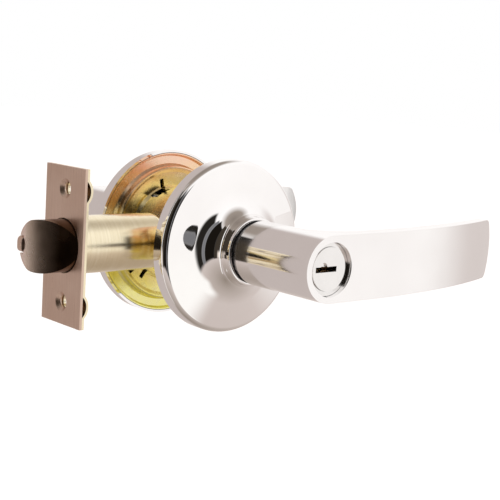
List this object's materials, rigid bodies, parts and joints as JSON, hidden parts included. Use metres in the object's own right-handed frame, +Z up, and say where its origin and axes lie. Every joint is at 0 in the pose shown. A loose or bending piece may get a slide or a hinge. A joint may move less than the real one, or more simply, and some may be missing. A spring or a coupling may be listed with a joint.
{
  "type": "lever handle lockset",
  "caption": "Door lockset: two chromed levers on round roses, keyed on one side and with a turn button on the other, joined by a drum chassis that draws back a bevelled spring latch.",
  "frame": {"origin": "where the spindle axis crosses the latch axis, in the middle of the door's thickness", "axes": "+Y along the spindle from the keyed side to the button side, +X from the latch towards the grips, +Z up"},
  "size_m": [0.181, 0.156, 0.066],
  "materials": {
    "satin_nickel": "satin, fine vertical grain",
    "champagne_zinc": "satin champagne zinc plate",
    "gold_zinc": "yellow zinc plate with a faint rainbow",
    "chrome": "polished",
    "steel": "plain steel",
    "satin_chrome": "satin",
    "pin_brass": "turned brass",
    "dark_nylon": "moulded"
  },
  "bodies": {
    "lock_body": {"latch_faceplate": "satin_nickel", "latch_backplate": "champagne_zinc", "latch_tube": "champagne_zinc", "latch_end_plug": "dark_nylon", "latchbolt_spring": "steel", "deadlatch_spring": "steel", "chassis_housing": "gold_zinc", "retractor_track": "gold_zinc", "retractor_spring_plate": "gold_zinc", "retractor_springs": "steel", "outer_hub": "gold_zinc", "outer_mounting_plate": "gold_zinc", "outer_hub_nut": "gold_zinc", "outer_plate_screws": "steel", "outer_spring_cage": "gold_zinc", "outer_torsion_spring": "steel", "outer_rose": "chrome", "outer_neck_bush": "dark_nylon", "inner_hub": "gold_zinc", "inner_mounting_plate": "gold_zinc", "inner_hub_nut": "gold_zinc", "inner_plate_screws": "steel", "inner_spring_cage": "gold_zinc", "inner_torsion_spring": "steel", "inner_rose": "chrome", "inner_neck_bush": "dark_nylon"},
    "outer_lever_body": {"outer_lever": "chrome", "outer_spindle": "steel", "outer_spring_driver": "steel", "outer_lever_catch": "steel", "cylinder_shell": "satin_chrome", "driver_pins": "pin_brass", "pin_springs": "steel"},
    "key_plug_body": {"key_plug": "chrome", "key_pins": "pin_brass", "plug_clip": "steel", "plug_tailpiece": "steel"},
    "inner_lever_body": {"inner_lever": "chrome", "inner_spindle": "steel", "inner_spring_driver": "steel", "inner_lever_catch": "steel", "button_bezel": "satin_chrome"},
    "turn_button_body": {"turn_button": "chrome", "locking_bar": "steel", "button_clip": "steel"},
    "retractor_body": {"retractor": "steel"},
    "latchbolt_body": {"latchbolt": "satin_nickel", "latchbolt_tail": "steel"},
    "deadlatch_body": {"deadlatch_plunger": "satin_nickel"}
  },
  "joints": [
    {"name": "outer_lever_turn", "type": "hinge", "parent": "lock_body", "child": "outer_lever_body", "pos_m": [0, -0.05, 0], "axis": [0, 1, 0], "range_deg": [0, 54], "stiffness_Nm_per_rad": 0.5, "springref_deg": -25.78, "deforming": ["outer_torsion_spring"]},
    {"name": "inner_lever_turn", "type": "hinge", "parent": "lock_body", "child": "inner_lever_body", "pos_m": [0, 0.05, 0], "axis": [0, 1, 0], "range_deg": [0, 54], "stiffness_Nm_per_rad": 0.5, "springref_deg": -25.78, "deforming": ["inner_torsion_spring"]},
    {"name": "retractor_slide", "type": "slide", "parent": "lock_body", "child": "retractor_body", "axis": [1, 0, 0], "range_m": [0, 0.0127], "stiffness_N_per_m": 120, "springref_m": -0.01, "deforming": ["retractor_springs"]},
    {"name": "latchbolt_slide", "type": "slide", "parent": "lock_body", "child": "latchbolt_body", "axis": [1, 0, 0], "range_m": [0, 0.0127], "stiffness_N_per_m": 120, "springref_m": -0.01, "deforming": ["latchbolt_spring"]},
    {"name": "deadlatch_slide", "type": "slide", "parent": "lock_body", "child": "deadlatch_body", "axis": [1, 0, 0], "range_m": [0, 0.0137], "stiffness_N_per_m": 100, "springref_m": -0.008, "deforming": ["deadlatch_spring"]},
    {"name": "key_plug_turn", "type": "hinge", "parent": "outer_lever_body", "child": "key_plug_body", "pos_m": [0, -0.06, 0], "axis": [0, 1, 0], "range_deg": [-90, 90]},
    {"name": "turn_button_turn", "type": "hinge", "parent": "inner_lever_body", "child": "turn_button_body", "pos_m": [0, 0.07, 0], "axis": [0, 1, 0], "range_deg": [0, 90]}
  ],
  "couplings": [
    {"joint": "inner_lever_turn", "follows": "outer_lever_turn", "ratio": 1},
    {"joint": "retractor_slide", "follows": "outer_lever_turn", "m_per_rad": 0.013475},
    {"joint": "latchbolt_slide", "follows": "outer_lever_turn", "m_per_rad": 0.013475}
  ]
}
